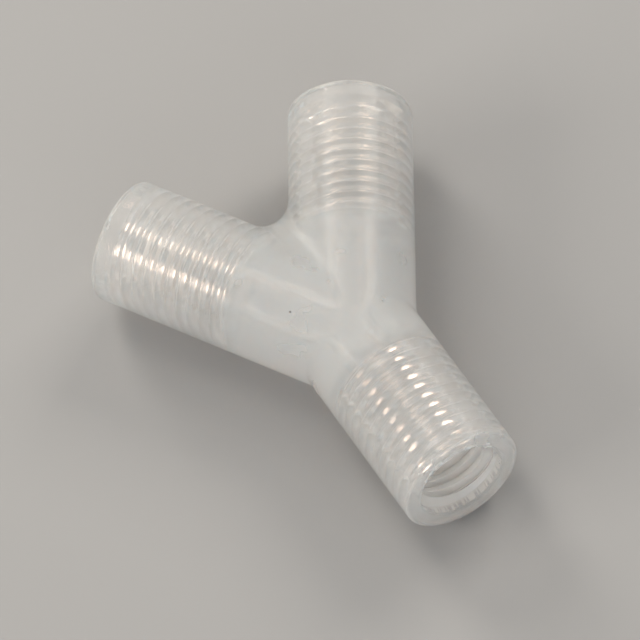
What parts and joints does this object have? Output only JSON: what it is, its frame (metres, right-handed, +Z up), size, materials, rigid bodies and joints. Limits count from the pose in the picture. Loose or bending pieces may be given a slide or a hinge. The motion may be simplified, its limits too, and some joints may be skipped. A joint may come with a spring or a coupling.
{
  "type": "tubing y connector",
  "caption": "Moulded translucent Y fitting for small-bore fluid lines: plain round barrels meet in a fork, each with a threaded flat-bottomed female port.",
  "frame": {"origin": "on the surface it rests on, under the middle of its overall length and width", "axes": "+Z up, square to the level plane that holds the axes of all the barrels; +Y from the stem's mouth towards the fork, in the mirror plane between the branches"},
  "size_m": [0.0262, 0.033, 0.0089],
  "materials": {
    "polypropylene": "smooth glossy moulded surface, natural milky translucent"
  },
  "bodies": {
    "root": {"connector_body": "polypropylene"}
  },
  "joints": []
}
